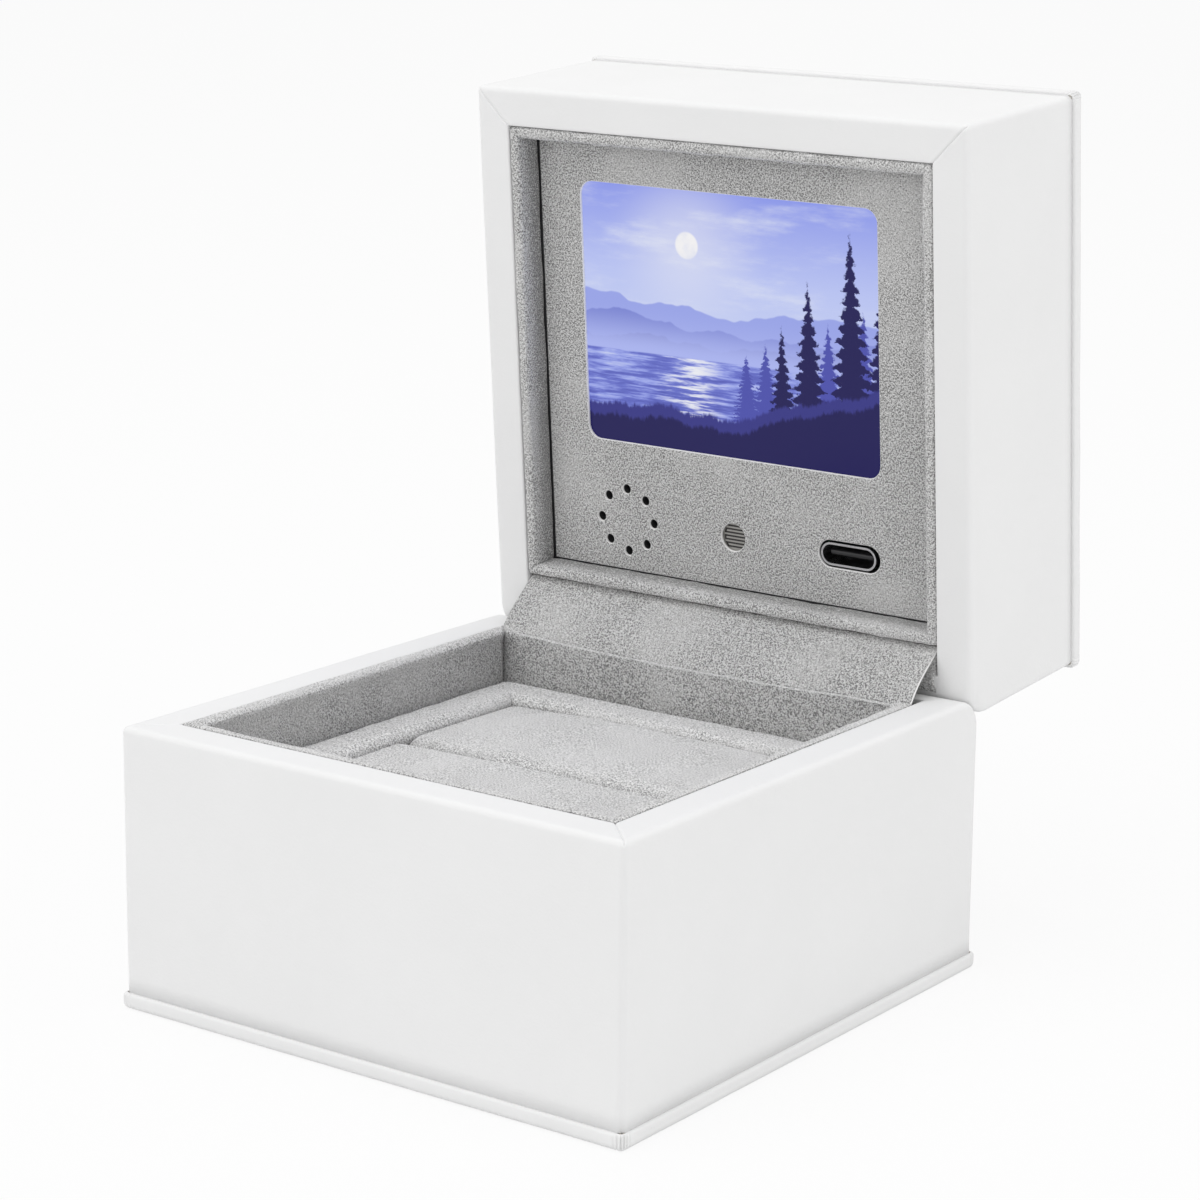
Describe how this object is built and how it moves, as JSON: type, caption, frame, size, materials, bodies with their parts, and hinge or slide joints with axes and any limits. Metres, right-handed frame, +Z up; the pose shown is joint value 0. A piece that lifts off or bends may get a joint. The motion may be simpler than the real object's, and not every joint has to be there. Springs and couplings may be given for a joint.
{
  "type": "video jewellery box",
  "caption": "Square leatherette ring box with a sprung hinged lid that holds a small screen, speaker, light sensor and charging port in a velvet panel above a ring cushion.",
  "frame": {"origin": "centre of the underside of the base", "axes": "+X to the right of someone facing the box, +Y to the rear (hinge side), +Z up; at rest the lid stands open"},
  "size_m": [0.081, 0.1078, 0.1177],
  "materials": {
    "white_leatherette": "smooth, lightly grained, satin",
    "grey_velvet": "short soft pile",
    "case_board": "pressed grey board, matt",
    "hinge_wood": "planed, matt",
    "cushion_foam": "open-cell foam",
    "plated_steel": "zinc plated",
    "spring_steel": "bright drawn wire",
    "panel_plastic": "moulded, matt",
    "display_glass": "lit screen behind clear glass",
    "clear_acrylic": "clear, polished",
    "tray_steel": "thin pressed sheet",
    "amber_film": "flexible film",
    "board_green": "solder mask",
    "black_plastic": "moulded, matt",
    "socket_plastic": "moulded, matt",
    "port_steel": "bright drawn steel",
    "sensor_ceramic": "coated ceramic",
    "sensor_track": "printed track",
    "tinned_wire": "bright",
    "cone_paper": "pressed, matt",
    "coil_copper": "enamelled wire",
    "magnet_metal": "nickel plated",
    "cell_foil": "soft foil pouch",
    "lead_insulation": "smooth"
  },
  "bodies": {
    "base": {"base_frame": "case_board", "base_wrap": "white_leatherette", "bottom_board": "case_board", "bottom_wrap": "white_leatherette", "base_hinge_rail": "hinge_wood", "base_liner": "grey_velvet", "cushion_riser": "cushion_foam", "cushion_card": "case_board", "ring_border": "grey_velvet", "ring_pad_front": "grey_velvet", "ring_pad_rear": "grey_velvet", "hinge_base_leaf": "plated_steel", "hinge_base_screws": "plated_steel", "hinge_pin": "plated_steel", "hinge_spring": "spring_steel", "hinge_flap": "grey_velvet"},
    "lid": {"lid_frame": "case_board", "lid_wrap": "white_leatherette", "back_board": "case_board", "back_wrap": "white_leatherette", "lid_hinge_rail": "hinge_wood", "hinge_lid_leaf": "plated_steel", "hinge_lid_screws": "plated_steel", "lid_liner": "grey_velvet", "lid_spacer": "case_board", "screen_panel": "panel_plastic", "panel_velvet": "grey_velvet", "lcd_cell": "display_glass", "lcd_light_guide": "clear_acrylic", "lcd_frame": "tray_steel", "lcd_flex": "amber_film", "flex_connector": "socket_plastic", "lcd_foam": "cushion_foam", "main_board": "board_green", "board_screws": "plated_steel", "video_processor": "black_plastic", "flash_memory": "black_plastic", "small_parts": "sensor_ceramic", "battery_socket": "socket_plastic", "usb_shell": "port_steel", "usb_tongue": "black_plastic", "photoresistor_disc": "sensor_ceramic", "photoresistor_track": "sensor_track", "photoresistor_leads": "tinned_wire", "speaker_basket": "black_plastic", "speaker_cone": "cone_paper", "speaker_coil": "coil_copper", "speaker_yoke": "magnet_metal", "speaker_magnet": "magnet_metal", "battery_cell": "cell_foil", "battery_foam": "cushion_foam", "rear_foam": "cushion_foam", "battery_leads": "lead_insulation", "speaker_leads": "lead_insulation"}
  },
  "joints": [
    {"name": "lid_hinge", "type": "hinge", "parent": "base", "child": "lid", "pos_m": [0, 0.0374, 0.03785], "axis": [1, 0, 0], "range_deg": [0, 85.8], "deforming": ["hinge_flap", "hinge_spring"]}
  ]
}
